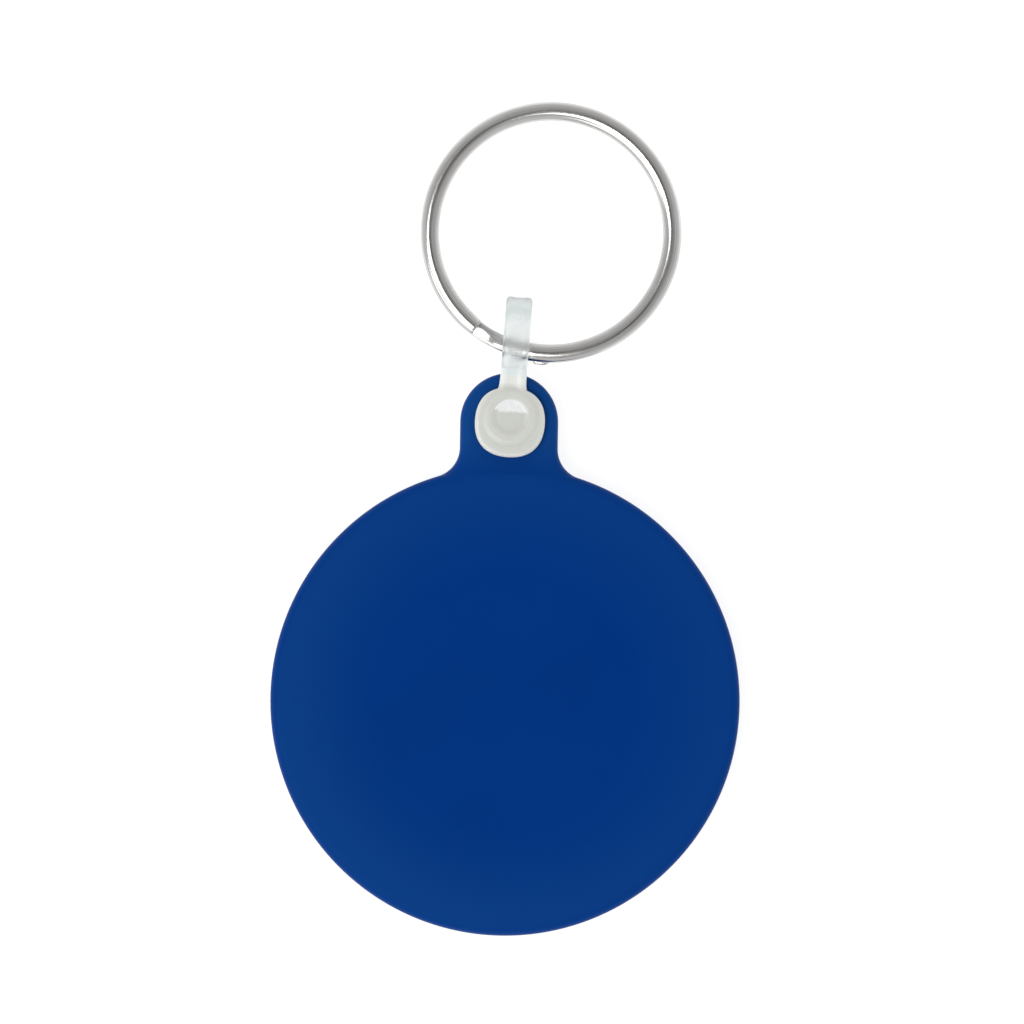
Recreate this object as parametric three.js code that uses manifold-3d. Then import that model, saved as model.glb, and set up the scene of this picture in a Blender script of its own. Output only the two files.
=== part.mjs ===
// A contactless transit token on a key ring: a round two-piece plastic casing with a hanging lug, the
// contactless inlay sealed inside it, a one-piece snap strap through the lug, and a two-turn split ring.
//
// Units are millimetres. The origin is the centre of the casing's flat back face. +Z runs through the
// thickness, out of the front face, and +Y runs from the disc towards the lug and the ring.

import * as THREE from "three";
import { mergeVertices } from "three/addons/utils/BufferGeometryUtils.js";
import Module from "manifold-3d";

const wasm = await Module();
wasm.setup();

// ---------------------------------------------------------------- driving dimensions

// Casing
const DISC_R = 22.5;
const CASE_T = 3.4; // thickness of the disc
const PART_Z = CASE_T / 2; // the plane where the two shells meet
const EDGE_R = 0.9; // rounding of the disc's rim
const LUG_T = 2.6; // the lug is thinner than the disc
const LUG_R = 4.7;
const LUG_Y = 26.75; // centre of the lug's round end
const LUG_EDGE_R = 0.85;
const NECK_R = 2.9; // concave fillets between the lug and the disc
const LUG_ROOT_X = 8; // the lug's corners inside the disc
const LUG_ROOT_Y = 19;
const HOLE_Y = 27.2; // the strap's stud goes through here
const HOLE_R = 1.8;
const STUD_X = 0.1; // the stud stands a little to one side in its hole

// Inside of the casing
const POCKET_R = 19;
const POCKET_DEPTH = 0.6; // in each shell
const TONGUE_R = 20.3; // middle of the weld tongue
const TONGUE_W = 0.6;
const TONGUE_H = 0.4;
const TONGUE_GAP = 0.12; // between the tongue and its groove, all round
const PIN_R = 0.6; // two locating pins at the root of the lug
const PIN_H = 0.7;
const PIN_X = 3.2;
const PIN_Y = 23.2;

// Contactless inlay
const FILM_R = 18.2;
const FILM_T = 0.2;
const FILM_Z = 1.3; // underside of the film
const LAYER_GAP = 0.02; // air between one layer of the inlay and the next
const COIL_OUT_R = 16.6; // middle of the outermost track
const COIL_PITCH = 0.9;
const COIL_W = 0.5;
const COIL_T = 0.1;
const COIL_TURNS = 4; // whole turns, besides the angle between the two ends
const COIL_START = THREE.MathUtils.degToRad(77); // outer end
const COIL_END = THREE.MathUtils.degToRad(108); // inner end
const TERMINAL_X = 3.7; // the chip's two terminals stand this far either side of the centre
const TERMINAL_Y = 8.6;
const TERMINAL_W = 1.6;
const TERMINAL_L = 3;
const CHIP_W = 4.8;
const CHIP_L = 5;
const CHIP_T = 0.32;
const LEAD_T = 0.1;
const LEAD_SPLIT = 0.5; // insulating gap between the two leads
const POST_R = 0.35; // the bridge's posts through the film
const BRIDGE_W = 1;
const BRIDGE_T = 0.1;
const ADHESIVE_R = 7;
const ADHESIVE_T = 0.15;

// Strap
const STRAP_W = 2.5;
const STRAP_T = 0.95;
const STRAP_EDGE_R = 0.3;
const STRAP_GAP = LUG_T / 2 + 0.3; // from the casing's mid plane to the strap's inner face
const STRAP_REACH = 11.6; // from the stud's axis to the end of the loop
const STRAP_LEAN = THREE.MathUtils.degToRad(-3.65); // turned a little clockwise on its stud
const PAD_R = 3.35;
const PAD_SHIFT = -0.5; // the pads reach further past the stud than beside it
const BUTTON_R = 2.66;
const BUTTON_H = 0.12;
const DIMPLE_R = 1.8;
const DIMPLE_DEPTH = 0.28;
const STUD_R = 1.45;
const NECK_STUD_R = 1.0; // where the stud is held by the rear pad
const TIP_R = 1.3; // the tip that snaps through the rear pad
const SOCKET_R = 1.12; // the rear pad's hole
const COUNTERBORE_R = 1.6;
const COUNTERBORE_DEPTH = 0.45;

// Split ring
const RING_OD = 25;
const WIRE_W = 1.75; // across the ring
const WIRE_T = 0.88; // thickness of one turn
const WIRE_EDGE_R = 0.36;
const TURN_GAP = 0.04;
const RING_ALONG = 18.0; // the ring's centre from the stud, along the strap
const RING_ASIDE = 2.5; // and to the right of the strap
const END_FRONT = THREE.MathUtils.degToRad(233); // where the front turn's end stands
const END_BACK = THREE.MathUtils.degToRad(263); // where the back turn's end stands

// Fineness of the round shapes
const ROUND = 96;
const SMALL_ROUND = 32;

// ---------------------------------------------------------------- materials

const plastic = (color, roughness) => new THREE.MeshStandardMaterial({ color, roughness, metalness: 0 });
const metal = (color, roughness) => new THREE.MeshStandardMaterial({ color, roughness, metalness: 1 });

const materials = {
  casing: plastic(0x06377c, 0.45),
  strap: plastic(0xd6dbd8, 0.4),
  steel: metal(0xc9c8c6, 0.15),
  film: plastic(0xe8dcc0, 0.3),
  aluminium: metal(0xcfd2d4, 0.3),
  copper: metal(0xc8815a, 0.3),
  epoxy: plastic(0x1c1c1e, 0.6),
  adhesive: plastic(0xf2efe4, 0.7),
};

// ---------------------------------------------------------------- solids

// A three.js geometry as a manifold-3d solid.
function solid(geometry) {
  geometry.deleteAttribute("normal");
  geometry.deleteAttribute("uv");
  const merged = mergeVertices(geometry, 1e-4);
  return new wasm.Manifold(
    new wasm.Mesh({
      numProp: 3,
      vertProperties: merged.attributes.position.array,
      triVerts: new Uint32Array(merged.index.array),
    }),
  );
}

// A manifold-3d solid as a three.js geometry.
function geometryOf(body) {
  const mesh = body.getMesh();
  const geometry = new THREE.BufferGeometry();
  geometry.setAttribute("position", new THREE.BufferAttribute(mesh.vertProperties, 3));
  geometry.setIndex(new THREE.BufferAttribute(mesh.triVerts, 1));
  geometry.computeVertexNormals();
  return geometry;
}

// A solid turned about a line parallel to Z through (x, y), from [radius, height] points that run from the
// axis at the bottom to the axis at the top.
function turned(points, segments, x = 0, y = 0) {
  const profile = points.map(([radius, height]) => new THREE.Vector2(radius, height));
  const geometry = new THREE.LatheGeometry(profile, segments);
  geometry.rotateX(Math.PI / 2);
  geometry.translate(x, y, 0);
  return solid(geometry);
}

// A round bar from z0 to z1.
function bar(radius, z0, z1, x = 0, y = 0, segments = SMALL_ROUND) {
  return turned([[0, z0], [radius, z0], [radius, z1], [0, z1]], segments, x, y);
}

// A flat plate with square edges from z0 to z1.
function plate(shape, z0, z1) {
  const geometry = new THREE.ExtrudeGeometry(shape, { depth: z1 - z0, bevelEnabled: false });
  geometry.translate(0, 0, z0);
  return solid(geometry);
}

// A block centred on (x, y).
function block(width, length, z0, z1, x = 0, y = 0) {
  const geometry = new THREE.BoxGeometry(width, length, z1 - z0);
  geometry.translate(x, y, (z0 + z1) / 2);
  return solid(geometry);
}

// Points of an arc about (x, y) from one angle to another, both ends included.
function arc(x, y, radius, from, to, steps) {
  return Array.from({ length: steps + 1 }, (_, i) => {
    const angle = from + (to - from) * (i / steps);
    return [x + radius * Math.cos(angle), y + radius * Math.sin(angle)];
  });
}

// Points of a quarter round, anticlockwise from the given angle.
const quarter = (x, y, radius, from, steps = 5) => arc(x, y, radius, from, from + Math.PI / 2, steps);

// A closed outline through the points, leaving out any that stand on the one before.
function outline(points) {
  const apart = ([x0, y0], [x1, y1]) => Math.hypot(x1 - x0, y1 - y0) > 1e-4;
  const kept = points.filter((point, i) => apart(point, points[(i + points.length - 1) % points.length]));
  return new THREE.Shape(kept.map(([x, y]) => new THREE.Vector2(x, y)));
}

// ---------------------------------------------------------------- casing

// The lug seen from the front, with the concave fillets that run into the disc.
function lugOutline() {
  const filletX = LUG_R + NECK_R;
  const filletY = Math.sqrt((DISC_R + NECK_R) ** 2 - filletX ** 2);
  const turn = Math.atan2(filletY, filletX); // from the disc's centre to the fillet's
  return outline([
    ...arc(filletX, filletY, NECK_R, turn + Math.PI, Math.PI, 12),
    ...arc(0, LUG_Y, LUG_R, 0, Math.PI, 36),
    ...arc(-filletX, filletY, NECK_R, 0, -turn, 12),
    [-LUG_ROOT_X, LUG_ROOT_Y],
    [LUG_ROOT_X, LUG_ROOT_Y],
  ]);
}

// The casing's full outer form, both shells together, with the hole for the stud.
function casingForm() {
  const disc = turned(
    [
      [0, 0],
      ...quarter(DISC_R - EDGE_R, EDGE_R, EDGE_R, -Math.PI / 2),
      ...quarter(DISC_R - EDGE_R, CASE_T - EDGE_R, EDGE_R, 0),
      [0, CASE_T],
    ],
    ROUND,
  );
  const lugGeometry = new THREE.ExtrudeGeometry(lugOutline(), {
    depth: LUG_T - 2 * LUG_EDGE_R,
    bevelSize: LUG_EDGE_R,
    bevelThickness: LUG_EDGE_R,
    bevelOffset: -LUG_EDGE_R,
    bevelSegments: 3,
  });
  lugGeometry.translate(0, 0, PART_Z - LUG_T / 2 + LUG_EDGE_R);
  return disc.add(solid(lugGeometry)).subtract(bar(HOLE_R, -1, CASE_T + 1, 0, HOLE_Y));
}

// Everything on one side of the parting plane.
const HALF_SPACE = 200;
const above = block(HALF_SPACE, HALF_SPACE, PART_Z, PART_Z + HALF_SPACE);
const below = block(HALF_SPACE, HALF_SPACE, PART_Z - HALF_SPACE, PART_Z);

// A round band about the disc's centre.
function band(middle, width, z0, z1) {
  return bar(middle + width / 2, z0, z1, 0, 0, ROUND).subtract(bar(middle - width / 2, z0 - 1, z1 + 1, 0, 0, ROUND));
}

function frontShell(form) {
  const pocket = bar(POCKET_R, PART_Z - 1, PART_Z + POCKET_DEPTH, 0, 0, ROUND);
  let shell = form.intersect(above).subtract(pocket);
  shell = shell.add(band(TONGUE_R, TONGUE_W, PART_Z - TONGUE_H, PART_Z + 0.1));
  for (const side of [-1, 1]) {
    shell = shell.add(bar(PIN_R, PART_Z - PIN_H, PART_Z + 0.1, side * PIN_X, PIN_Y));
  }
  return shell;
}

function backShell(form) {
  const pocket = bar(POCKET_R, PART_Z - POCKET_DEPTH, PART_Z + 1, 0, 0, ROUND);
  const groove = band(TONGUE_R, TONGUE_W + 2 * TONGUE_GAP, PART_Z - TONGUE_H - TONGUE_GAP, PART_Z + 1);
  let shell = form.intersect(below).subtract(pocket).subtract(groove);
  for (const side of [-1, 1]) {
    const socket = bar(PIN_R + TONGUE_GAP, PART_Z - PIN_H - TONGUE_GAP, PART_Z + 1, side * PIN_X, PIN_Y);
    shell = shell.subtract(socket);
  }
  return shell;
}

// ---------------------------------------------------------------- contactless inlay

const filmTop = FILM_Z + FILM_T;
const coilTop = filmTop + LAYER_GAP + COIL_T;
const coilSweep = COIL_TURNS * 2 * Math.PI + COIL_END - COIL_START;
const outerEnd = new THREE.Vector2(COIL_OUT_R * Math.cos(COIL_START), COIL_OUT_R * Math.sin(COIL_START));

// The spiral track, with a round pad at its outer end and the chip's first terminal at its inner end.
function antennaCoil() {
  const steps = 216;
  const edge = (offset, i) => {
    const swept = (coilSweep * i) / steps;
    const radius = COIL_OUT_R - (COIL_PITCH * swept) / (2 * Math.PI) + offset;
    return [radius * Math.cos(COIL_START + swept), radius * Math.sin(COIL_START + swept)];
  };
  const along = (offset) => Array.from({ length: steps + 1 }, (_, i) => edge(offset, i));
  const track = outline([...along(COIL_W / 2), ...along(-COIL_W / 2).reverse()]);
  const innerEnd = edge(0, steps);
  const z0 = filmTop + LAYER_GAP;
  const reach = innerEnd[1] + COIL_W / 2 - (TERMINAL_Y - TERMINAL_L / 2);
  return plate(track, z0, coilTop)
    .add(bar(2 * POST_R, z0, coilTop, outerEnd.x, outerEnd.y, 24))
    .add(block(TERMINAL_W, reach, z0, coilTop, -TERMINAL_X, TERMINAL_Y - TERMINAL_L / 2 + reach / 2));
}

// The film that carries the track, with the two holes where the bridge comes through.
function inlayFilm() {
  const hole = (x, y) => bar(POST_R + 0.15, FILM_Z - 1, filmTop + 1, x, y, 16);
  return bar(FILM_R, FILM_Z, filmTop, 0, 0, 72)
    .subtract(hole(outerEnd.x, outerEnd.y))
    .subtract(hole(TERMINAL_X, TERMINAL_Y));
}

// The track under the film that brings the coil's outer end in to the chip's second terminal.
function coilBridge() {
  const top = FILM_Z - LAYER_GAP;
  const span = outerEnd.y - TERMINAL_Y;
  return block(BRIDGE_W, span + BRIDGE_W, top - BRIDGE_T, top, TERMINAL_X, TERMINAL_Y + span / 2)
    .add(bar(POST_R, top - BRIDGE_T / 2, filmTop + LAYER_GAP / 2, outerEnd.x, outerEnd.y, 16))
    .add(bar(POST_R, top - BRIDGE_T / 2, coilTop - COIL_T / 2, TERMINAL_X, TERMINAL_Y, 16))
    .add(block(TERMINAL_W, TERMINAL_L, filmTop + LAYER_GAP, coilTop, TERMINAL_X, TERMINAL_Y));
}

// One of the two leads under the chip, from the middle of the package out over its terminal.
function chipLead(side) {
  const inner = LEAD_SPLIT / 2;
  const outer = TERMINAL_X + TERMINAL_W / 2;
  const z0 = coilTop + LAYER_GAP;
  return block(outer - inner, CHIP_W - 0.8, z0, z0 + LEAD_T, (side * (outer + inner)) / 2, TERMINAL_Y);
}

// The moulded package over the leads, its top edges sloped to leave the mould.
function chipPackage() {
  const shape = new THREE.Shape();
  const halfW = CHIP_L / 2;
  const halfL = CHIP_W / 2;
  shape.moveTo(-halfW, -halfL);
  shape.lineTo(halfW, -halfL);
  shape.lineTo(halfW, halfL);
  shape.lineTo(-halfW, halfL);
  const draft = 0.15;
  const geometry = new THREE.ExtrudeGeometry(shape, {
    depth: CHIP_T - 2 * draft,
    bevelSize: draft,
    bevelThickness: draft,
    bevelOffset: -draft,
    bevelSegments: 1,
  });
  geometry.translate(0, TERMINAL_Y, coilTop + 2 * LAYER_GAP + LEAD_T + draft);
  return solid(geometry);
}

function adhesivePad() {
  const z0 = PART_Z - POCKET_DEPTH + LAYER_GAP;
  return bar(ADHESIVE_R, z0, z0 + ADHESIVE_T, 0, 0, 48);
}

// ---------------------------------------------------------------- strap

// The strap in its own frame: the stud's axis is Z, the loop runs along +Y, and z = 0 is the casing's mid plane.
function connectorStrap() {
  const inner = STRAP_GAP;
  const outer = STRAP_GAP + STRAP_T;
  const bendY = STRAP_REACH - outer; // centre of the loop's round end

  // The band, as a U in the plane of its length and thickness, extruded across its width.
  const loop = outline([
    [0, outer],
    [0, inner],
    ...arc(bendY, 0, inner, Math.PI / 2, -Math.PI / 2, 16),
    [0, -inner],
    [0, -outer],
    ...arc(bendY, 0, outer, -Math.PI / 2, Math.PI / 2, 20),
  ]);
  const bandGeometry = new THREE.ExtrudeGeometry(loop, {
    depth: STRAP_W - 2 * STRAP_EDGE_R,
    bevelSize: STRAP_EDGE_R,
    bevelThickness: STRAP_EDGE_R,
    bevelOffset: -STRAP_EDGE_R,
    bevelSegments: 2,
  });
  bandGeometry.translate(0, 0, STRAP_EDGE_R - STRAP_W / 2);
  // The U was drawn with the length along x and the thickness along y.
  bandGeometry.applyMatrix4(
    new THREE.Matrix4().makeBasis(new THREE.Vector3(0, 1, 0), new THREE.Vector3(0, 0, 1), new THREE.Vector3(1, 0, 0)),
  );

  // A round pad with its outer edge rounded; side is 1 at the front and -1 at the rear.
  const pad = (side) => {
    const edge = 0.3;
    const rim = quarter(PAD_R - edge, outer - edge, edge, 0, 4);
    const profile = [[0, inner], [PAD_R, inner], ...rim, [0, outer]];
    const points = side > 0 ? profile : profile.map(([radius, height]) => [radius, -height]).reverse();
    return turned(points, 64, 0, PAD_SHIFT);
  };

  // The button over the stud: a low round boss with a dished middle.
  const rise = outer + BUTTON_H;
  const ballR = (DIMPLE_R ** 2 + DIMPLE_DEPTH ** 2) / (2 * DIMPLE_DEPTH);
  const dish = Array.from({ length: 7 }, (_, i) => {
    const radius = DIMPLE_R * (1 - i / 6);
    return [radius, rise - DIMPLE_DEPTH + ballR - Math.sqrt(ballR ** 2 - radius ** 2)];
  });
  const button = turned([[0, inner], [BUTTON_R, inner], [BUTTON_R, rise - 0.15], [BUTTON_R - 0.15, rise], ...dish], 64);

  // The stud goes down through the lug, and its tip snaps through the rear pad.
  const shoulder = -inner + 0.05;
  const lip = -outer + COUNTERBORE_DEPTH;
  const stud = turned(
    [
      [0, -outer],
      [TIP_R - 0.3, -outer],
      [TIP_R, lip - 0.12],
      [NECK_STUD_R, lip - 0.02],
      [NECK_STUD_R, shoulder],
      [STUD_R, shoulder],
      [STUD_R, inner + 0.1],
      [0, inner + 0.1],
    ],
    48,
  );
  const socket = bar(SOCKET_R, -outer - 1, -inner + 1, 0, 0, 48);
  const counterbore = bar(COUNTERBORE_R, -outer - 1, lip, 0, 0, 48);

  return solid(bandGeometry).add(pad(-1)).subtract(socket).subtract(counterbore).add(pad(1)).add(button).add(stud);
}

// ---------------------------------------------------------------- split ring

const ringR = (RING_OD - WIRE_W) / 2; // middle of the wire
const turnZ = (WIRE_T + TURN_GAP) / 2; // middle of the front turn above the ring's mid plane

// The wire's middle line: clockwise round the front turn, down through the crank between the two ends, and
// clockwise again round the back turn.
class SplitRingCurve extends THREE.Curve {
  constructor() {
    super();
    this.sweep = 4 * Math.PI - (END_BACK - END_FRONT);
  }
  getPoint(t, target = new THREE.Vector3()) {
    const swept = t * this.sweep;
    const crank = 2 * Math.PI - (END_BACK - END_FRONT); // swept where the crank starts
    const down = THREE.MathUtils.smoothstep(swept, crank, crank + END_BACK - END_FRONT);
    const angle = END_FRONT - swept;
    return target.set(ringR * Math.cos(angle), ringR * Math.sin(angle), turnZ * (1 - 2 * down));
  }
}

function splitRing() {
  const halfW = WIRE_W / 2;
  const halfT = WIRE_T / 2;
  const section = outline([
    ...quarter(halfT - WIRE_EDGE_R, halfW - WIRE_EDGE_R, WIRE_EDGE_R, 0, 3),
    ...quarter(-halfT + WIRE_EDGE_R, halfW - WIRE_EDGE_R, WIRE_EDGE_R, Math.PI / 2, 3),
    ...quarter(-halfT + WIRE_EDGE_R, -halfW + WIRE_EDGE_R, WIRE_EDGE_R, Math.PI, 3),
    ...quarter(halfT - WIRE_EDGE_R, -halfW + WIRE_EDGE_R, WIRE_EDGE_R, 1.5 * Math.PI, 3),
  ]);
  const geometry = new THREE.ExtrudeGeometry(section, {
    extrudePath: new SplitRingCurve(),
    steps: 144,
  });
  return solid(geometry);
}

// ---------------------------------------------------------------- assembly

const token = new THREE.Group();

function addPiece(parent, name, body, material) {
  const mesh = new THREE.Mesh(geometryOf(body), material);
  mesh.name = name;
  parent.add(mesh);
}

const form = casingForm();
addPiece(token, "front_shell", frontShell(form), materials.casing);
addPiece(token, "back_shell", backShell(form), materials.casing);
addPiece(token, "adhesive_pad", adhesivePad(), materials.adhesive);
addPiece(token, "inlay_film", inlayFilm(), materials.film);
addPiece(token, "antenna_coil", antennaCoil(), materials.aluminium);
addPiece(token, "coil_bridge", coilBridge(), materials.aluminium);
addPiece(token, "chip_lead_left", chipLead(-1), materials.copper);
addPiece(token, "chip_lead_right", chipLead(1), materials.copper);
addPiece(token, "chip_package", chipPackage(), materials.epoxy);

// The strap leans on its stud, and the ring lies in the strap's loop.
const strapFrame = new THREE.Group();
strapFrame.position.set(STUD_X, HOLE_Y, PART_Z);
strapFrame.rotation.z = STRAP_LEAN;
token.add(strapFrame);
addPiece(strapFrame, "connector_strap", connectorStrap(), materials.strap);

const ringFrame = new THREE.Group();
ringFrame.position.set(RING_ASIDE, RING_ALONG, 0);
ringFrame.rotation.z = -STRAP_LEAN;
strapFrame.add(ringFrame);
addPiece(ringFrame, "split_ring", splitRing(), materials.steel);

export default token;
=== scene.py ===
import math

import bmesh
import bpy
from mathutils import Matrix, Vector, geometry


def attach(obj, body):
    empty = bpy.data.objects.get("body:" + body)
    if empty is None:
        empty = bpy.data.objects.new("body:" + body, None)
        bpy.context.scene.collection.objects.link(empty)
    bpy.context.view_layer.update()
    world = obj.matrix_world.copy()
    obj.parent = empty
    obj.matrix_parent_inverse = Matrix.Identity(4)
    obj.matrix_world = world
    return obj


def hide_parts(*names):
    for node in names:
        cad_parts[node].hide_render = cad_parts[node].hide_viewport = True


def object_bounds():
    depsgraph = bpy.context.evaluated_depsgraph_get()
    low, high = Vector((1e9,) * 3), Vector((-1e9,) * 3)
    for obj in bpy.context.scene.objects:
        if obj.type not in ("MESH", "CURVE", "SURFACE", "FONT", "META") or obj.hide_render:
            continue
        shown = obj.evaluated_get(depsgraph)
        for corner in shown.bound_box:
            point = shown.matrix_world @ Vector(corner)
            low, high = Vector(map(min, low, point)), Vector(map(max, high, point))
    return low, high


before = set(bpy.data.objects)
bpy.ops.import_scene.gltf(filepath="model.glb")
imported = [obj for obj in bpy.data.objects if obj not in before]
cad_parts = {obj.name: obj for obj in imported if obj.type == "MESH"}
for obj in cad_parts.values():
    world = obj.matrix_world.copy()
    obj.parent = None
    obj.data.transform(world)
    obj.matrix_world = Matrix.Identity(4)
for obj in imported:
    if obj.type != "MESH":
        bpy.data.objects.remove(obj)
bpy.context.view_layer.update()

MM = 0.001
PI = math.pi

# ------------------------------------------------------------ sizes, in millimetres

MID_Z = 1.7  # the plane where the two shells meet, and the ring's and the strap's mid plane

DISC_R = 22.5
DISC_HALF = 1.7
EDGE_R = 0.9
CROWN = 0.12  # how far the face falls away towards the rim
CROWN_START = 15.5
LUG_R = 4.7
LUG_Y = 26.75
LUG_HALF = 1.3
LUG_EDGE_R = 0.85
LUG_RAMP = (20.4, 24.8)  # where the disc's face falls to the lug's, from the disc's centre
LUG_BLEND = (0.03, 0.12)  # rounding of their crossing at the outline, and what is added further in
NECK_R = 2.9
HOLE_Y = 27.2
HOLE_R = 1.8
HOLE_EDGE = 0.1
STUD_X = 0.1  # the stud stands a little to one side in its hole
FACE_RINGS = (  # radius of each ring of points on the face, and how many it has
    (4, 24),
    (8, 48),
    (12, 72),
    (15, 120),
    (16.5, 144),
    (18, 180),
    (19, 240),
    (19.8, 300),
    (20.5, 360),
)
SEAM = 0.1  # chamfer of each shell where they meet

POCKET_R = 19.0
POCKET_DEPTH = 0.6
TONGUE_R = 20.3
TONGUE_W = 0.6
TONGUE_H = 0.4
TONGUE_GAP = 0.12
PIN_R = 0.6
PIN_H = 0.7
PIN_X = 3.2
PIN_Y = 23.2

STRAP_LEAN = math.radians(-3.65)
STRAP_W = 2.5
STRAP_T = 0.95
STRAP_IN = 1.6  # from the mid plane to the strap's inner face
STRAP_OUT = STRAP_IN + STRAP_T
STRAP_REACH = 11.6
BAND_OUT_R = 0.42  # rounding of the band's outer corners
BAND_IN_R = 0.25  # and of its inner corners
CHANNEL_DEPTH = 0.06  # shallow channel down the band's outer face
CHANNEL = (0.3, 0.83)  # its floor ends and its edge stands this far from the middle
BAND_FRONT = -1.2  # where the band starts under the front pad
BAND_BACK = 1.9  # and ends in the rear pad
FLARE = 0.32  # how much wider the band is where it leaves the pads
FLARE_START = 2.6
FLARE_FADE = 0.45
PAD_R = 3.35
PAD_SHIFT = -0.5
PAD_SQUARE = 0.05  # how squarish the front pad is
PAD_EDGE = 0.3
PAD_FOOT = 0.15
BUTTON_R = 2.66
BUTTON_TOP = STRAP_OUT + 0.12
BUTTON_SLOPE = (0.1, -0.3)  # from the button's radius, where its flank starts and ends
DIMPLE_R = 1.8
DIMPLE_DEPTH = 0.28
STUD_R = 1.45
STUD_NECK_R = 1.0
STUD_LIP_R = 1.3
COUNTERBORE_R = 1.6
LIP_DEPTH = 0.45  # from the rear pad's outer face to the stud's lip
PAD_END = (2.7, 3.3)  # along the strap from the stud, where the pad's colour becomes the neck's
NECK_END = (3.8, 4.1)
MILKY_END = (4.66, 4.72)  # the band is clear from here on
LOOP_END_SHADE = (8.8, 10.4)  # painted shade: the band is made a little darker towards the loop's end, where it turns away
VOXEL = 0.046  # grain of the mesh in which the strap's parts are joined
SMOOTH_PASSES = 8

RING_ASIDE = 2.5
RING_ALONG = 18.0
WIRE_R = 11.625  # middle of the wire
WIRE_W = 1.75
WIRE_T = 0.88
CRANK_W = 1.55
TURN_Z = 0.46
END_FRONT = math.radians(233)
END_BACK = math.radians(263)
PINCH = [math.radians(a) for a in (4, 15, 34, 46)]  # it narrows and widens, from the crank's start
END_PINCH = 0.6  # share of that narrowing at the cut ends
END_PINCH_LENGTH = (0.1, 1.4)
END_TRIM = 0.14  # share by which the burr has been taken off the cut ends
END_TRIM_LENGTH = 0.2
SPREAD = 0.26  # how far the back turn's end springs outwards
ROLL_IN = math.radians(8)  # twist inwards at the crank's start
ROLL_OUT = math.radians(6)  # and outwards at its end
DOME = 1.2  # how peaked the wire's outward face is
FLAT = (0.75, 0.95)  # how much flatter the face against the other turn is, and at the back end
WIRE_SQUARE = 0.93  # under 1, the section's sides are fuller than an ellipse's
WIRE_LEAN = 0.22  # how far the section's widest line stands off its middle
RING_STEPS = 760
WIRE_SIDES = 32

FILLET_X = LUG_R + NECK_R
FILLET_Y = math.sqrt((DISC_R + NECK_R) ** 2 - FILLET_X**2)
TURN = math.atan2(FILLET_Y, FILLET_X)


# ------------------------------------------------------------ mesh helpers


def arc(cx, cy, radius, start, stop, steps):
    """Points of an arc, without its last point."""
    out = []
    for i in range(steps):
        a = start + (stop - start) * i / steps
        out.append((cx + radius * math.cos(a), cy + radius * math.sin(a)))
    return out


def circle(cx, cy, radius, steps):
    return arc(cx, cy, radius, 0.0, 2 * PI, steps)


def line(start, stop, steps):
    """Points of a straight line, without its last point."""
    out = []
    for i in range(steps):
        x = start[0] + (stop[0] - start[0]) * i / steps
        y = start[1] + (stop[1] - start[1]) * i / steps
        out.append((x, y))
    return out


def smoothstep(x, low, high):
    t = min(1.0, max(0.0, (x - low) / (high - low)))
    return t * t * (3 - 2 * t)


def smooth_max(a, b, k):
    """The larger of two heights, with their crossing rounded over k."""
    h = max(0.0, k - abs(a - b)) / k
    return max(a, b) + h * h * k / 4


class Builder:
    """A mesh put together from loops of points, in millimetres."""

    def __init__(self):
        self.points = []
        self.faces = []

    def loop(self, points):
        start = len(self.points)
        self.points.extend(points)
        return list(range(start, len(self.points)))

    def bridge(self, a, b):
        n = len(a)
        for i in range(n):
            j = (i + 1) % n
            self.faces.append((a[i], a[j], b[j], b[i]))

    def cap(self, loop, centre):
        middle = self.loop([centre])[0]
        for i in range(len(loop)):
            self.faces.append((loop[i], loop[(i + 1) % len(loop)], middle))

    def fill(self, loops, extra, height, keep):
        """Triangles between loops that are already in the mesh, through extra points.

        height(x, y) gives a new point's height, and a triangle is kept where keep(x, y) is true
        of its middle.
        """
        flat = [Vector(self.points[i][:2]) for loop in loops for i in loop]
        index = [i for loop in loops for i in loop]
        edges = []
        start = 0
        for loop in loops:
            n = len(loop)
            edges += [(start + i, start + (i + 1) % n) for i in range(n)]
            start += n
        new = self.loop([(x, y, height(x, y)) for x, y in extra])
        flat += [Vector(p) for p in extra]
        index += new
        made = geometry.delaunay_2d_cdt(flat, edges, [], 1, 1e-6)
        places, triangles, sources = made[0], made[2], made[3]
        lookup = []
        for place, source in zip(places, sources):
            if source:
                lookup.append(index[source[0]])
            else:
                lookup.append(self.loop([(place.x, place.y, height(place.x, place.y))])[0])
        for triangle in triangles:
            x = sum(places[i].x for i in triangle) / 3
            y = sum(places[i].y for i in triangle) / 3
            if keep(x, y):
                self.faces.append(tuple(lookup[i] for i in triangle))

    def make(self, name, place=Matrix.Identity(4), sharp=40):
        mesh = bpy.data.meshes.new(name)
        mesh.from_pydata([Vector(p) * MM for p in self.points], [], self.faces)
        bm = bmesh.new()
        bm.from_mesh(mesh)
        bmesh.ops.delete(bm, geom=[v for v in bm.verts if not v.link_faces], context="VERTS")
        bmesh.ops.remove_doubles(bm, verts=bm.verts, dist=1e-7)
        bmesh.ops.recalc_face_normals(bm, faces=bm.faces)
        bm.transform(place)
        bm.to_mesh(mesh)
        bm.free()
        mesh.shade_smooth()
        mesh.set_sharp_from_angle(angle=math.radians(sharp))
        obj = bpy.data.objects.new(name, mesh)
        bpy.context.scene.collection.objects.link(obj)
        return obj


# ------------------------------------------------------------ casing


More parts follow.
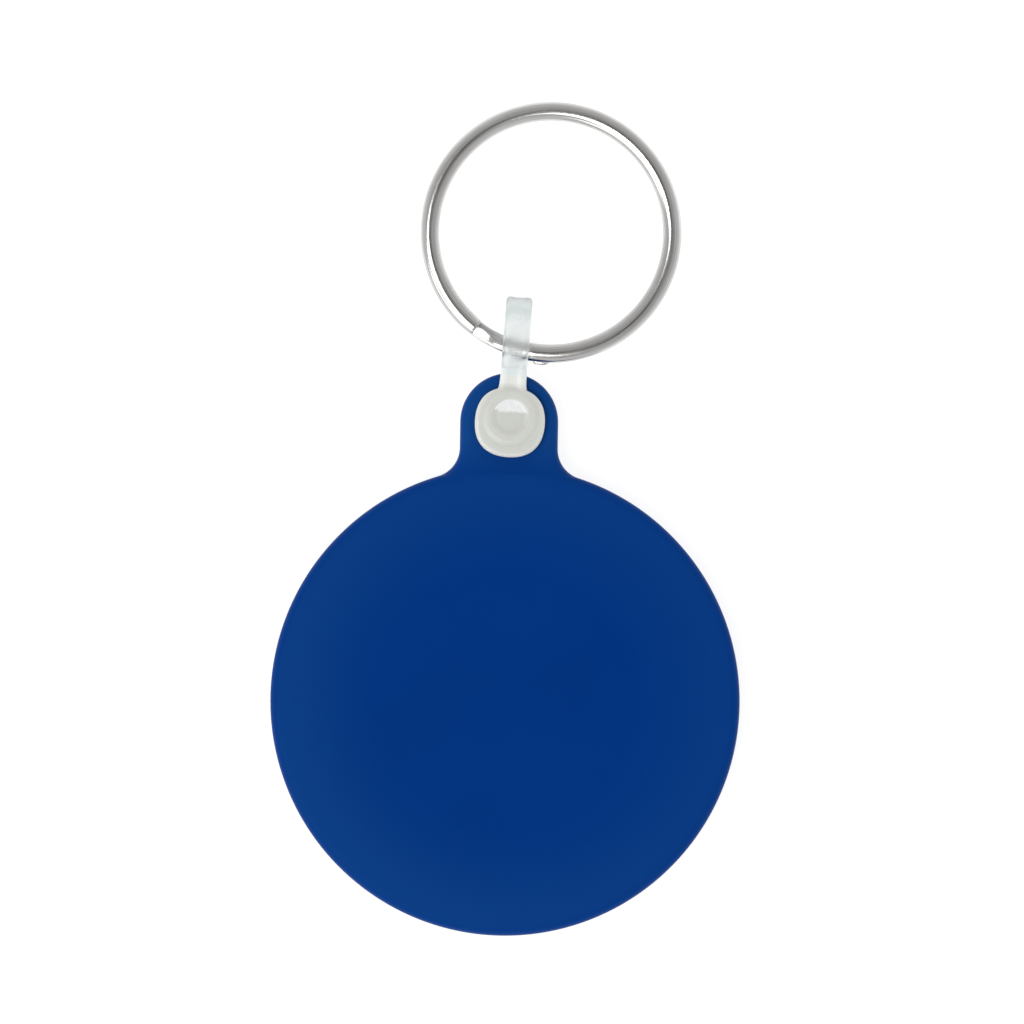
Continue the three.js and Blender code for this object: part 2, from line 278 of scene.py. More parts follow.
def casing_outline(inset):
    """The casing's outline moved inwards, with the same order of points for every inset."""
    disc, neck, lug = DISC_R - inset, NECK_R + inset, LUG_R - inset
    return (
        arc(0, 0, disc, -PI / 2, TURN, 200)
        + arc(FILLET_X, FILLET_Y, neck, TURN + PI, PI, 28)
        + line((lug, FILLET_Y), (lug, LUG_Y), 8)
        + arc(0, LUG_Y, lug, 0, PI, 72)
        + line((-lug, LUG_Y), (-lug, FILLET_Y), 8)
        + arc(-FILLET_X, FILLET_Y, neck, 0, -TURN, 28)
        + arc(0, 0, disc, PI - TURN, 1.5 * PI, 200)
    )


def disc_height(x, y):
    r = math.hypot(x, y)
    fall = CROWN * max(0.0, (r - CROWN_START) / (DISC_R - CROWN_START)) ** 2
    over = min(EDGE_R, max(0.0, r - (DISC_R - EDGE_R)))
    height = DISC_HALF - fall - EDGE_R + math.sqrt(EDGE_R**2 - over**2)
    return height - 8 * max(0.0, r - DISC_R)


def lug_height(x, y, inset):
    over = min(LUG_EDGE_R, max(0.0, LUG_EDGE_R - inset))
    height = LUG_HALF - LUG_EDGE_R + math.sqrt(LUG_EDGE_R**2 - over**2)
    climb = (DISC_HALF - CROWN - LUG_HALF) * (1 - smoothstep(math.hypot(x, y), *LUG_RAMP))
    return height + climb * smoothstep(inset, 0.0, 1.0)


def face_height(x, y, inset=2.0):
    """Height of the casing's face above the mid plane."""
    height = disc_height(x, y)
    if y > 20:
        blend = LUG_BLEND[0] + LUG_BLEND[1] * min(1.0, inset / 0.4)
        height = smooth_max(height, lug_height(x, y, inset), blend)
    return min(height, DISC_HALF)


INNER_INSET = 1.05  # where the rounded rim has met the face


def casing_shell(name, side):
    """One shell: side is 1 for the front and -1 for the back."""
    b = Builder()
    lug_points = range(200, 200 + 28 + 8 + 72 + 8 + 28)

    def lift(points, height):
        return [(x, y, height) for x, y in points]

    # Outer wall and rounded rim
    land = b.loop(lift(casing_outline(SEAM), 0.0))
    low = b.loop(lift(casing_outline(0.0), SEAM))
    b.bridge(land, low)
    steps = 13
    insets = [EDGE_R * (1 - math.cos(PI / 2 * i / steps)) for i in range(steps + 1)]
    insets += [0.95, INNER_INSET]
    last = low
    for inset in insets:
        row = []
        for i, (x, y) in enumerate(casing_outline(inset)):
            height = face_height(x, y, inset) if i in lug_points else disc_height(x, y)
            row.append((x, y, height))
        row = b.loop(row)
        b.bridge(last, row)
        last = row

    # Face, with the soft step where the disc's rim crosses the root of the lug
    rim = HOLE_R + HOLE_EDGE
    hole = b.loop(lift(circle(0, HOLE_Y, rim, 72), LUG_HALF))
    extra = [(0.0, 0.0)]
    for r, n in FACE_RINGS:
        extra += circle(0, 0, r, n)
    for i in range(34):
        r = 20.7 + 0.08 * i
        reach = math.asin((LUG_R - INNER_INSET - 0.1) / r)
        for j in range(61):
            a = reach * (j / 30 - 1)
            extra.append((r * math.sin(a), r * math.cos(a)))
    extra += circle(0, HOLE_Y, rim + 0.3, 48)
    b.fill([last, hole], extra, face_height, lambda x, y: math.hypot(x, y - HOLE_Y) > rim - 0.01)

    # Hole for the stud
    for i in (1, 2, 3):
        a = PI / 2 * i / 3
        ring = circle(0, HOLE_Y, rim - HOLE_EDGE * math.sin(a), 72)
        row = b.loop(lift(ring, LUG_HALF - HOLE_EDGE * (1 - math.cos(a))))
        b.bridge(hole, row)
        hole = row
    foot = b.loop(lift(circle(0, HOLE_Y, HOLE_R, 72), 0.0))
    b.bridge(hole, foot)

    # Land where the shells meet, with its locating pins or their sockets
    if side > 0:
        half, depth = TONGUE_W / 2, -TONGUE_H
        pin_r, pin_z = PIN_R, -PIN_H
    else:
        gap = TONGUE_GAP
        half, depth = TONGUE_W / 2 + gap, TONGUE_H + gap
        pin_r, pin_z = PIN_R + gap, PIN_H + gap
    tongue = b.loop(lift(circle(0, 0, TONGUE_R + half, 240), 0.0))
    pins = []
    for x in (-PIN_X, PIN_X):
        ring = circle(x, PIN_Y, pin_r, 32)
        top = b.loop(lift(ring, 0.0))
        end = b.loop(lift(ring, pin_z))
        b.bridge(top, end)
        b.cap(end, (x, PIN_Y, pin_z))
        pins.append(top)

    def on_land(x, y):
        clear = math.hypot(x, y) > TONGUE_R + half and math.hypot(x, y - HOLE_Y) > HOLE_R
        return clear and all(math.hypot(x - px, y - PIN_Y) > pin_r for px in (-PIN_X, PIN_X))

    b.fill([land, tongue, foot, *pins], [], lambda x, y: 0.0, on_land)
    profile = (
        (TONGUE_R + half, depth),
        (TONGUE_R - half, depth),
        (TONGUE_R - half, 0.0),
        (POCKET_R, 0.0),
        (POCKET_R, POCKET_DEPTH),
        (POCKET_R - 3, POCKET_DEPTH),
    )
    last = tongue
    for r, z in profile:
        row = b.loop(lift(circle(0, 0, r, 240), z))
        b.bridge(last, row)
        last = row
    b.cap(last, (0.0, 0.0, POCKET_DEPTH))

    place = Matrix.Translation((0, 0, MID_Z * MM)) @ Matrix.Diagonal((1, 1, side, 1))
    obj = b.make(name, place)
    if side < 0:
        obj.data.flip_normals()
    return obj


# ------------------------------------------------------------ strap

STRAP_PLACE = Matrix.Translation((STUD_X * MM, HOLE_Y * MM, MID_Z * MM))
STRAP_PLACE = STRAP_PLACE @ Matrix.Rotation(STRAP_LEAN, 4, "Z")


def rounded(cx, cz, r, start, steps=6):
    """Points of a quarter circle, with its last point."""
    out = []
    for i in range(steps + 1):
        a = start + PI / 2 * i / steps
        out.append((cx + r * math.cos(a), cz + r * math.sin(a)))
    return out


def strap_section(width):
    """The band's section as (across, out) points, with a shallow channel down its outer face."""
    half = width / 2
    points = []
    for cx, cz, r, start in (
        (half - BAND_OUT_R, STRAP_T / 2 - BAND_OUT_R, BAND_OUT_R, 0.0),
        (-half + BAND_OUT_R, STRAP_T / 2 - BAND_OUT_R, BAND_OUT_R, PI / 2),
        (-half + BAND_IN_R, -STRAP_T / 2 + BAND_IN_R, BAND_IN_R, PI),
        (half - BAND_IN_R, -STRAP_T / 2 + BAND_IN_R, BAND_IN_R, 1.5 * PI),
    ):
        points += rounded(cx, cz, r, start)
        if start == 0.0:
            for i in range(1, 14):
                x = (half - BAND_OUT_R) * (1 - 2 * i / 14)
                sunk = CHANNEL_DEPTH * (1 - smoothstep(abs(x), *CHANNEL))
                points.append((x, STRAP_T / 2 - sunk))
    return points


def strap_band(b):
    """The band, from under the front pad round the loop to the rear pad."""
    middle = (STRAP_IN + STRAP_OUT) / 2
    bend = STRAP_REACH - STRAP_OUT
    path = []
    steps = 48
    for i in range(steps):
        y = BAND_FRONT + (bend - BAND_FRONT) * i / steps
        path.append((y, middle, 0.0))
    for i in range(41):
        a = PI * i / 40
        path.append((bend + middle * math.sin(a), middle * math.cos(a), a))
    for i in range(1, steps + 1):
        path.append((bend + (BAND_BACK - bend) * i / steps, -middle, PI))
    last = None
    for y, z, a in path:
        flare = FLARE * math.exp(-max(0.0, y - FLARE_START) / FLARE_FADE)
        row = []
        for across, out in strap_section(STRAP_W + flare):
            row.append((across, y + out * math.sin(a), z + out * math.cos(a)))
        row = b.loop(row)
        if last:
            b.bridge(last, row)
        else:
            b.faces.append(tuple(row))
        last = row
    b.faces.append(tuple(reversed(last)))


def turned(b, profile, x=0.0, y=0.0, steps=96, square=0.0):
    """A turned solid from (radius, height) points that start and end on the axis."""
    loops = []
    for radius, height in profile:
        if radius < 1e-6:
            loops.append(b.loop([(x, y, height)]))
            continue
        ring = []
        for i in range(steps):
            a = 2 * PI * i / steps
            r = radius * (1 + square * (1 - math.cos(4 * a)) / 2)
            ring.append((x + r * math.cos(a), y + r * math.sin(a), height))
        loops.append(b.loop(ring))
    for low, high in zip(loops, loops[1:]):
        if len(low) > 1 and len(high) > 1:
            b.bridge(low, high)
        elif len(low) > 1:
            b.faces += [(low[i], low[(i + 1) % steps], high[0]) for i in range(steps)]
        else:
            b.faces += [(high[(i + 1) % steps], high[i], low[0]) for i in range(steps)]


def connector_strap():
    """The strap's pads, band and stud, joined in one moulding with soft edges."""
    pieces = []

    def piece(build):
        b = Builder()
        build(b)
        pieces.append(b.make("strap_piece", sharp=180))

    rim = rounded(PAD_R - PAD_EDGE, STRAP_OUT - PAD_EDGE, PAD_EDGE, 0.0)
    foot = rounded(PAD_R - PAD_FOOT, STRAP_IN + PAD_FOOT, PAD_FOOT, -PI / 2)
    front_pad = [(0, STRAP_IN), *foot, *rim, (0, STRAP_OUT)]
    piece(strap_band)
    piece(lambda b: turned(b, front_pad, 0, PAD_SHIFT, square=PAD_SQUARE))

    ball = (DIMPLE_R**2 + DIMPLE_DEPTH**2) / (2 * DIMPLE_DEPTH)  # radius of the dish
    dish = []
    for i in range(17):
        r = DIMPLE_R * (1 - i / 16)
        dish.append((r, BUTTON_TOP - DIMPLE_DEPTH + ball - math.sqrt(ball**2 - r**2)))
    flank = BUTTON_R + BUTTON_SLOPE[0]
    crest = [(flank, STRAP_OUT - 0.03), (BUTTON_R + BUTTON_SLOPE[1], BUTTON_TOP)]
    button = [(0, STRAP_IN + 0.1), (flank, STRAP_IN + 0.1), *crest, *dish]
    piece(lambda b: turned(b, button))

    lip = -STRAP_OUT + LIP_DEPTH
    shoulder = -STRAP_IN + 0.05
    tip = -STRAP_OUT + 0.02
    stud = [
        (0, tip),
        (STUD_NECK_R, tip),
        (STUD_LIP_R, lip - 0.12),
        (STUD_NECK_R, lip),
        (STUD_NECK_R, shoulder),
        (STUD_R, shoulder),
        (STUD_R, STRAP_IN + 0.2),
        (0, STRAP_IN + 0.2),
    ]
    piece(lambda b: turned(b, stud, steps=64))

    # The rear pad, round a socket and its counterbore; the pad's edge isn't concentric with them.
    def rear_pad(b):
        steps = 96
        inner = [(STUD_NECK_R, -STRAP_IN), (STUD_NECK_R, lip)]
        inner += [(COUNTERBORE_R, lip), (COUNTERBORE_R, -STRAP_OUT)]
        outer = [(r, -z) for r, z in rim[::-1]] + [(r, -z) for r, z in foot[::-1]]
        loops = [b.loop([(x, y, z) for x, y in circle(0, 0, r, steps)]) for r, z in inner]
        for r, z in outer:
            loops.append(b.loop([(x, y, z) for x, y in circle(0, PAD_SHIFT, r, steps)]))
        for low, high in zip(loops, loops[1:] + loops[:1]):
            b.bridge(low, high)

    piece(rear_pad)

    bpy.ops.object.select_all(action="DESELECT")
    for obj in pieces:
        obj.select_set(True)
    bpy.context.view_layer.objects.active = pieces[0]
    bpy.ops.object.join()
    strap = bpy.context.view_layer.objects.active
    strap.name = "strap_moulding"
    strap.data.name = "strap_moulding"
    remesh = strap.modifiers.new("one_moulding", "REMESH")
    remesh.mode = "VOXEL"
    remesh.voxel_size = VOXEL * MM
    remesh.use_smooth_shade = True
    soften = strap.modifiers.new("soft_edges", "SMOOTH")
    soften.factor = 0.5
    soften.iterations = SMOOTH_PASSES
    bpy.ops.object.modifier_apply(modifier=remesh.name)
    bpy.ops.object.modifier_apply(modifier=soften.name)
    strap.data.transform(STRAP_PLACE)
    return strap


# ------------------------------------------------------------ split ring


def split_ring():
    """The wire, swept clockwise round the front turn, down the crank and round the back turn."""
    place = STRAP_PLACE @ Matrix.Translation((RING_ASIDE * MM, RING_ALONG * MM, 0))
    place = place @ Matrix.Rotation(-STRAP_LEAN, 4, "Z")
    gap = END_BACK - END_FRONT
    sweep = 4 * PI - gap
    crank = 2 * PI - gap
    b = Builder()
    last = None
    for i in range(RING_STEPS + 1):
        swept = sweep * i / RING_STEPS
        angle = END_FRONT - swept
        bias = 1 - 2 * smoothstep(swept, crank, crank + gap)  # 1 on the front turn, -1 on the back
        z = TURN_Z * bias
        pinch = smoothstep(swept, crank + PINCH[0], crank + PINCH[1])
        pinch *= 1 - smoothstep(swept, crank + PINCH[2], crank + PINCH[3])
        end = min(swept, sweep - swept) * WIRE_R  # along the wire to the nearer cut end
        pinch = max(pinch, END_PINCH * (1 - smoothstep(end, *END_PINCH_LENGTH)))
        width = WIRE_W + (CRANK_W - WIRE_W) * pinch
        trim = 1 - END_TRIM * max(0.0, 1 - end / END_TRIM_LENGTH) ** 2
        turn_out = smoothstep(swept, crank + 0.33, crank + 0.41)
        turn_in = smoothstep(swept, crank, crank + 0.15) * (1 - turn_out)
        roll = ROLL_OUT * turn_out - ROLL_IN * turn_in
        roll *= 1 - smoothstep(swept, crank + gap, crank + gap + 0.3)
        flat = FLAT[0] + (FLAT[1] - FLAT[0]) * smoothstep(swept, sweep - 0.2, sweep - 0.05)
        spring = SPREAD * smoothstep(swept, sweep - 0.135, sweep - 0.08)
        row = []
        for j in range(WIRE_SIDES):
            a = 2 * PI * j / WIRE_SIDES
            c, s = math.cos(a), math.sin(a)
            across = math.copysign(abs(c) ** WIRE_SQUARE, c) * width / 2 * trim
            # The outward side is domed and the side against the other turn is nearly flat.
            shift = WIRE_LEAN * bias * abs(c) ** 1.6
            power = DOME if s * bias > 0 else DOME - flat * abs(bias)
            up = (math.copysign(abs(s) ** power, s) - shift * (1 - abs(s))) * WIRE_T / 2 * trim
            r = WIRE_R + across * math.cos(roll) + up * math.sin(roll) + spring
            rise = up * math.cos(roll) - across * math.sin(roll)
            row.append((r * math.cos(angle), r * math.sin(angle), z + rise))
        row = b.loop(row)
        if last:
            b.bridge(last, row)
        else:
            b.faces.append(tuple(row))
        last = row
    b.faces.append(tuple(reversed(last)))
    return b.make("ring_wire", place, sharp=50)


# ------------------------------------------------------------ materials


class Shader:
    """A principled material built node by node, in object coordinates."""

    def __init__(self, name, **values):
        self.material = bpy.data.materials.new(name)
        self.material.use_nodes = True
        self.tree = self.material.node_tree
        self.bsdf = self.tree.nodes["Principled BSDF"]
        self.place = self.node("ShaderNodeTexCoord").outputs["Object"]
        for key, value in values.items():
            self.bsdf.inputs[key.replace("_", " ")].default_value = value

    def node(self, kind, **values):
        made = self.tree.nodes.new(kind)
        for key, value in values.items():
            if key in made.inputs:
                made.inputs[key].default_value = value
            else:
                setattr(made, key, value)
        return made

    def link(self, source, target):
        self.tree.links.new(source, target)

    def noise(self, scale, detail=3.0, rough=0.5, stretch=None):
        made = self.node("ShaderNodeTexNoise", Scale=scale, Detail=detail, Roughness=rough)
        source = self.place
        if stretch:
            mapping = self.node("ShaderNodeMapping")
            mapping.inputs["Scale"].default_value = stretch
            self.link(self.place, mapping.inputs["Vector"])
            source = mapping.outputs["Vector"]
        self.link(source, made.inputs["Vector"])
        return made.outputs["Fac"]

    def ramp(self, source, low, high, out_low, out_high):
        made = self.node("ShaderNodeMapRange")
        made.inputs["From Min"].default_value = low
        made.inputs["From Max"].default_value = high
        made.inputs["To Min"].default_value = out_low
        made.inputs["To Max"].default_value = out_high
        self.link(source, made.inputs["Value"])
        return made.outputs["Result"]

    def fade(self, source, span, out=(0, 1)):
        """From out[0] to out[1] while source, a distance, goes over a span in millimetres."""
        return self.ramp(source, span[0] * MM, span[1] * MM, *out)

    def radius(self, place):
        """Distance of a place from the Z axis."""
        flat = self.node("ShaderNodeVectorMath", operation="MULTIPLY")
        flat.inputs[1].default_value = (1, 1, 0)
        self.link(place, flat.inputs[0])
        length = self.node("ShaderNodeVectorMath", operation="LENGTH")
        self.link(flat.outputs["Vector"], length.inputs[0])
        return length.outputs["Value"]

    def mix(self, source, a, b):
        """Colour a where source is 0 and b where it is 1. Either may be a colour or an output."""
        made = self.node("ShaderNodeMix", data_type="RGBA")
        self.link(source, made.inputs["Factor"])
        for key, value in (("A", a), ("B", b)):
            socket = [s for s in made.inputs if s.name == key and s.type == "RGBA"][0]
            if isinstance(value, tuple):
                socket.default_value = (*value, 1.0)
            else:
                self.link(value, socket)
        return [s for s in made.outputs if s.type == "RGBA"][0]

    def bump(self, source, distance, strength=1.0, after=None):
        made = self.node("ShaderNodeBump", Strength=strength, Distance=distance)
        self.link(source, made.inputs["Height"])
        if after:
            self.link(after, made.inputs["Normal"])
        return made.outputs["Normal"]

    def set(self, socket, source):
        self.link(source, self.bsdf.inputs[socket])

    def math(self, operation, a, b):
        made = self.node("ShaderNodeMath", operation=operation)
        for i, value in enumerate((a, b)):
            if isinstance(value, (int, float)):
                made.inputs[i].default_value = value
            else:
                self.link(value, made.inputs[i])
        return made.outputs["Value"]


def casing_material():
    s = Shader("casing_plastic", IOR=1.5)
    s.bsdf.inputs["Specular IOR Level"].default_value = 0.06
    s.bsdf.inputs["Specular Tint"].default_value = (0.2, 0.9, 1.0, 1.0)
    mottle = s.ramp(s.noise(90, 4), 0.35, 0.65, 0, 1)
    base = s.mix(mottle, (0.0, 0.0295, 0.208), (0.0, 0.0315, 0.217))
    # Painted sheen: the blue is made lighter towards the rim and lighter again on the lug,
    # standing in for the brighter reflection there.
    radius = s.radius(s.place)
    base = s.mix(s.fade(radius, (12.5, 20.5)), base, (0.0025, 0.0405, 0.226))
    base = s.mix(s.fade(radius, (22.5, 25.5)), base, (0.005, 0.053, 0.243))
    grain = s.noise(5200, 4, 0.6)
    scratch = s.ramp(s.noise(160, 6, 0.7, (1, 14, 1)), 0.56, 0.72, 0, 1)
    rough = s.math("ADD", s.ramp(grain, 0.3, 0.7, 0.30, 0.38), s.math("MULTIPLY", scratch, 0.05))
    s.set("Base Color", base)
    s.set("Roughness", rough)
    fine = s.bump(grain, 0.000006, 0.4)
    s.set("Normal", s.bump(s.noise(240, 2), 0.00002, 0.08, fine))
    return s.material


def strap_material():
    s = Shader("strap_plastic", IOR=1.49)
    s.bsdf.inputs["Subsurface Weight"].default_value = 1.0
    s.bsdf.inputs["Subsurface Radius"].default_value = (1.0, 1.0, 0.95)
    s.bsdf.inputs["Subsurface Scale"].default_value = 0.0011
    s.bsdf.inputs["Specular IOR Level"].default_value = 0.5
    # Distances along and across the strap, from the stud's axis
    turn = s.node("ShaderNodeMapping", vector_type="TEXTURE")
    turn.inputs["Location"].default_value = (STUD_X * MM, HOLE_Y * MM, 0.0)
    turn.inputs["Rotation"].default_value = (0.0, 0.0, STRAP_LEAN)
    s.link(s.place, turn.inputs["Vector"])
    split = s.node("ShaderNodeSeparateXYZ")
    s.link(turn.outputs["Vector"], split.inputs["Vector"])
    across = s.math("ABSOLUTE", split.outputs["X"], 0.0)
    along = split.outputs["Y"]
    cloud = s.ramp(s.noise(420, 4, 0.5), 0.35, 0.65, 0, 1)
    pad_colour = s.mix(cloud, (0.68, 0.69, 0.65), (0.70, 0.71, 0.675))
    neck_colour = s.mix(cloud, (0.86, 0.87, 0.82), (0.88, 0.89, 0.84))
    root_colour = s.mix(cloud, (0.77, 0.825, 0.815), (0.79, 0.845, 0.84))
    band_colour = s.mix(cloud, (0.925, 0.965, 0.96), (0.945, 0.985, 0.98))
    # Painted shade: the band darkens towards the loop's end.
    band_colour = s.mix(s.fade(along, LOOP_END_SHADE), band_colour, (0.82, 0.87, 0.865))
    band = s.fade(along, NECK_END)
    clear = s.fade(along, MILKY_END)
    colour = s.mix(s.fade(along, PAD_END), pad_colour, neck_colour)
    colour = s.mix(clear, s.mix(band, colour, root_colour), band_colour)
    # The channel down the band's middle is frosted, and the upper part of the dimple gets a
    # painted highlight: a whitened crescent with the same frosted grain.
    grain = s.noise(3600, 4, 0.6)
    middle = s.math("MULTIPLY", s.fade(across, (0.4, 0.9), (1, 0)), s.fade(along, (4.6, 5.6)))
    middle = s.math("MULTIPLY", middle, s.fade(along, (9.7, 10.7), (1, 0)))
    out = s.math("POWER", s.math("MULTIPLY", split.outputs["X"], 1 / MM), 2.0)
    out = s.math("ADD", out, s.math("POWER", s.math("MULTIPLY", along, 1 / MM), 2.0))
    # Painted highlight: a whitened crescent in the dimple's upper part, with a ragged lower edge.
    ragged = s.math("ADD", along, s.ramp(s.noise(1500, 3), 0.3, 0.7, -0.15 * MM, 0.15 * MM))
    dimple_highlight = s.math("MULTIPLY", s.ramp(out, 2.6, 3.0, 1, 0), s.fade(ragged, (0.45, 0.75)))
    frost_and_highlight = s.math("MAXIMUM", middle, dimple_highlight)
    # The band is clear enough to see through past the lug, and the thicker pads are milky.
    s.set("Transmission Weight", clear)
    # White speckled grain on the frosted channel, and as the painted highlight in the dimple.
    speckle = s.mix(s.ramp(grain, 0.42, 0.58, 0, 1), (0.89, 0.92, 0.915), (1.0, 1.0, 1.0))
    s.set("Base Color", s.mix(frost_and_highlight, colour, speckle))
    smooth = s.math("ADD", s.ramp(grain, 0.3, 0.7, 0.2, 0.26), s.math("MULTIPLY", band, 0.1))
    s.set("Roughness", s.math("ADD", smooth, s.math("MULTIPLY", frost_and_highlight, 0.12)))
    fine = s.bump(s.math("MULTIPLY", grain, frost_and_highlight), 0.00008, 0.8)
    s.set("Normal", s.bump(s.noise(900, 3), 0.00003, 0.08, fine))
    return s.material


def steel_material():
    s = Shader("polished_steel", Metallic=1.0)
    # Drawing has left fine lines along the wire, round the ring's axis.
    centre = STRAP_PLACE @ Vector((RING_ASIDE * MM, RING_ALONG * MM, 0.0))
    shift = s.node("ShaderNodeVectorMath", operation="SUBTRACT")
    shift.inputs[1].default_value = centre
    s.link(s.place, shift.inputs[0])
    radius = s.radius(shift.outputs["Vector"])
    split = s.node("ShaderNodeSeparateXYZ")
    s.link(shift.outputs["Vector"], split.inputs["Vector"])
    drawn = s.node("ShaderNodeCombineXYZ")
    waver = 0.02  # how far the lines run off the wire's own line
    sideways = s.math("MULTIPLY", split.outputs["X"], waver)
    upwards = s.math("MULTIPLY", split.outputs["Y"], waver)
    s.link(s.math("ADD", radius, sideways), drawn.inputs["X"])
    s.link(s.math("ADD", split.outputs["Z"], upwards), drawn.inputs["Y"])
    lines = s.node("ShaderNodeTexNoise", Scale=6500, Detail=4, Roughness=0.6)
    s.link(drawn.outputs["Vector"], lines.inputs["Vector"])
    lines = lines.outputs["Fac"]
    tarnish = s.ramp(s.noise(260, 5, 0.6), 0.35, 0.7, 0, 1)
    bright = s.mix(tarnish, (0.73, 0.735, 0.73), (0.65, 0.645, 0.635))
    s.set("Base Color", s.mix(s.ramp(lines, 0.42, 0.62, 0.35, 0), bright, (0.42, 0.385, 0.36)))
    s.set("Roughness", s.ramp(lines, 0.3, 0.7, 0.11, 0.19))
    s.set("Normal", s.bump(lines, 0.000006, 0.5))
    return s.material


def plain_metal(name, low, high, rough, scale):
    s = Shader(name, Metallic=1.0)
    cloud = s.ramp(s.noise(scale, 4), 0.35, 0.65, 0, 1)
    s.set("Base Color", s.mix(cloud, low, high))
    grain = s.noise(scale * 8, 4, 0.6)
    s.set("Roughness", s.ramp(grain, 0.3, 0.7, rough, rough + 0.12))
    s.set("Normal", s.bump(grain, 0.000004, 0.4))
    return s.material


def film_material():
    s = Shader("polyester_film", IOR=1.57)
    s.bsdf.inputs["Transmission Weight"].default_value = 0.6
    cloud = s.ramp(s.noise(120, 3), 0.35, 0.65, 0, 1)
    s.set("Base Color", s.mix(cloud, (0.86, 0.80, 0.66), (0.90, 0.86, 0.74)))
    s.set("Roughness", s.ramp(s.noise(3000, 3), 0.3, 0.7, 0.12, 0.22))
    s.set("Normal", s.bump(s.noise(400, 2), 0.00001, 0.2))
    return s.material


def epoxy_material():
    s = Shader("moulding_compound")
    speckle = s.ramp(s.noise(9000, 3), 0.45, 0.6, 0, 1)
    s.set("Base Color", s.mix(speckle, (0.012, 0.012, 0.013), (0.03, 0.03, 0.032)))
    s.set("Roughness", s.ramp(s.noise(7000, 4), 0.3, 0.7, 0.5, 0.68))
    s.set("Normal", s.bump(s.noise(8000, 4), 0.000008, 0.6))
    return s.material


def adhesive_material():
    s = Shader("adhesive_tape")
    fibre = s.ramp(s.noise(2500, 5, 0.7, (1, 6, 1)), 0.35, 0.65, 0, 1)
    s.set("Base Color", s.mix(fibre, (0.80, 0.78, 0.71), (0.88, 0.87, 0.82)))
    s.set("Roughness", s.ramp(fibre, 0, 1, 0.6, 0.8))
    s.set("Normal", s.bump(fibre, 0.00001, 0.5))
    return s.material


def paint(obj, material):
    obj.data.materials.clear()
    obj.data.materials.append(material)


# ------------------------------------------------------------ the object

casing = casing_material()
for name, side in (("front_shell", 1), ("back_shell", -1)):
    shell = casing_shell(name + "_moulding", side)
    paint(shell, casing)
    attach(shell, "fob")
    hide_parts(name)

strap = connector_strap()
paint(strap, strap_material())
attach(strap, "strap")
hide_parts("connector_strap")

ring = split_ring()
paint(ring, steel_material())
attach(ring, "ring")
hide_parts("split_ring")

foil = plain_metal("etched_foil", (0.76, 0.77, 0.78), (0.84, 0.845, 0.85), 0.24, 600)
leads = plain_metal("tinned_copper", (0.72, 0.42, 0.27), (0.80, 0.55, 0.38), 0.26, 900)
for name, material in (
    ("adhesive_pad", adhesive_material()),
    ("inlay_film", film_material()),
    ("antenna_coil", foil),
    ("coil_bridge", foil),
    ("chip_lead_left", leads),
    ("chip_lead_right", leads),
    ("chip_package", epoxy_material()),
):
    paint(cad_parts[name], material)


# ------------------------------------------------------------ studio

FLOOR = 1.6  # from its middle to each side, in metres
FLOOR_GLOW = 0.86  # the floor is lit from below, so that shadows stay faint

floor_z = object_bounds()[0].z
floor_mesh = bpy.data.meshes.new("floor")
corners = [(-FLOOR, -FLOOR), (FLOOR, -FLOOR), (FLOOR, FLOOR), (-FLOOR, FLOOR)]
floor_mesh.from_pydata([(x, y, floor_z) for x, y in corners], [], [(0, 1, 2, 3)])
floor = bpy.data.objects.new("floor", floor_mesh)
bpy.context.scene.collection.objects.link(floor)
floor_shader = Shader("floor_paper", Roughness=0.9)
floor_shader.bsdf.inputs["Emission Color"].default_value = (1, 1, 1, 1)
floor_shader.bsdf.inputs["Emission Strength"].default_value = FLOOR_GLOW
paper = floor_shader.mix(floor_shader.noise(60, 3), (0.25, 0.25, 0.25), (0.27, 0.27, 0.27))
floor_shader.set("Base Color", paper)
paint(floor, floor_shader.material)


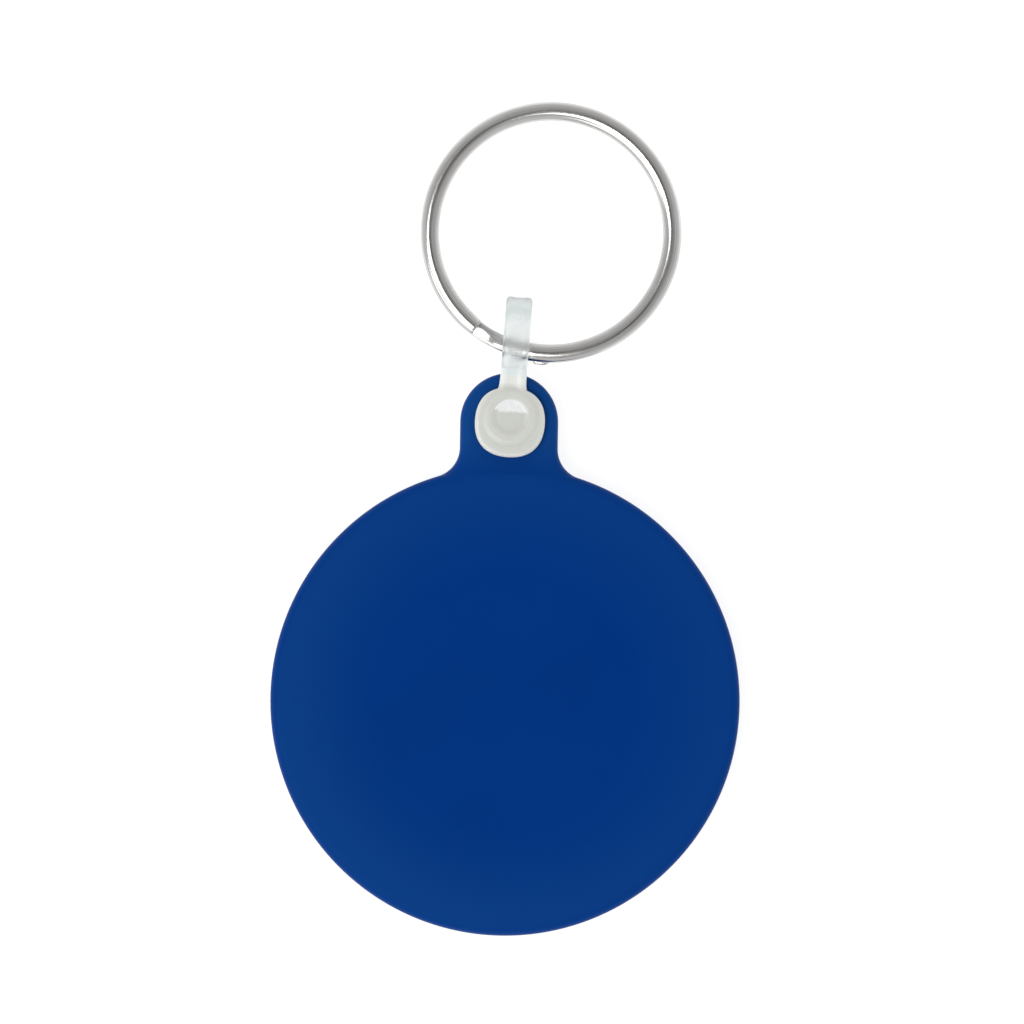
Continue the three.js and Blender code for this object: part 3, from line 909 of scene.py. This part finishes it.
def softbox(name, azimuth, from_zenith, distance, width, height, power):
    """An area light aimed at the object. Azimuth is anticlockwise from +X, seen from above."""
    data = bpy.data.lights.new(name, "AREA")
    data.shape = "RECTANGLE"
    data.size = width
    data.size_y = height
    data.energy = power
    light = bpy.data.objects.new(name, data)
    a, t = math.radians(azimuth), math.radians(from_zenith)
    away = Vector((math.sin(t) * math.cos(a), math.sin(t) * math.sin(a), math.cos(t)))
    target = Vector((0.0, 0.018, 0.0))
    light.location = target + away * distance
    light.rotation_mode = "QUATERNION"
    light.rotation_quaternion = (-away).to_track_quat("-Z", "Y")
    light.visible_camera = False
    bpy.context.scene.collection.objects.link(light)


softbox("key", azimuth=215, from_zenith=18.5, distance=1.0, width=0.50, height=0.43, power=2.9)
softbox("key_low", azimuth=225, from_zenith=50, distance=1.0, width=0.95, height=0.5, power=1.7)

# Strength of the studio's walls and ceiling, by the Z of their direction
HORIZON = (0.0, 0.90)
ZENITH = (1.0, 0.03)
BETWEEN = ((0.45, 0.70), (0.80, 0.54), (0.94, 0.45))

world = bpy.data.worlds.new("studio")
bpy.context.scene.world = world
world.use_nodes = True
tree = world.node_tree
background = tree.nodes["Background"]
coordinate = tree.nodes.new("ShaderNodeTexCoord")
split = tree.nodes.new("ShaderNodeSeparateXYZ")
tree.links.new(coordinate.outputs["Generated"], split.inputs[0])
grade = tree.nodes.new("ShaderNodeFloatCurve")
curve = grade.mapping.curves[0]
curve.points[0].location = HORIZON
curve.points[1].location = ZENITH
for z, strength in BETWEEN:
    curve.points.new(z, strength)
grade.mapping.update()
tree.links.new(split.outputs["Z"], grade.inputs["Value"])
tree.links.new(grade.outputs["Value"], background.inputs["Strength"])
background.inputs["Color"].default_value = (1, 1, 1, 1)

scene = bpy.context.scene
scene.view_settings.view_transform = "Standard"
scene.view_settings.look = "None"

# The camera looks straight down at the front face, turned so that the fob leans a little.
CAMERA_D = 0.60  # from the back face's plane
FIELD = 0.09827  # width of the view at the casing's mid plane
SENSOR = 36.0
camera_data = bpy.data.cameras.new("camera")
camera_data.sensor_width = SENSOR
camera_data.lens = SENSOR * (CAMERA_D - MID_Z * MM) / FIELD
camera = bpy.data.objects.new("camera", camera_data)
camera.location = (0.40 * MM, 18.13 * MM, CAMERA_D)
camera.rotation_euler = (0.0, 0.0, math.radians(0.86))
scene.collection.objects.link(camera)
scene.camera = camera
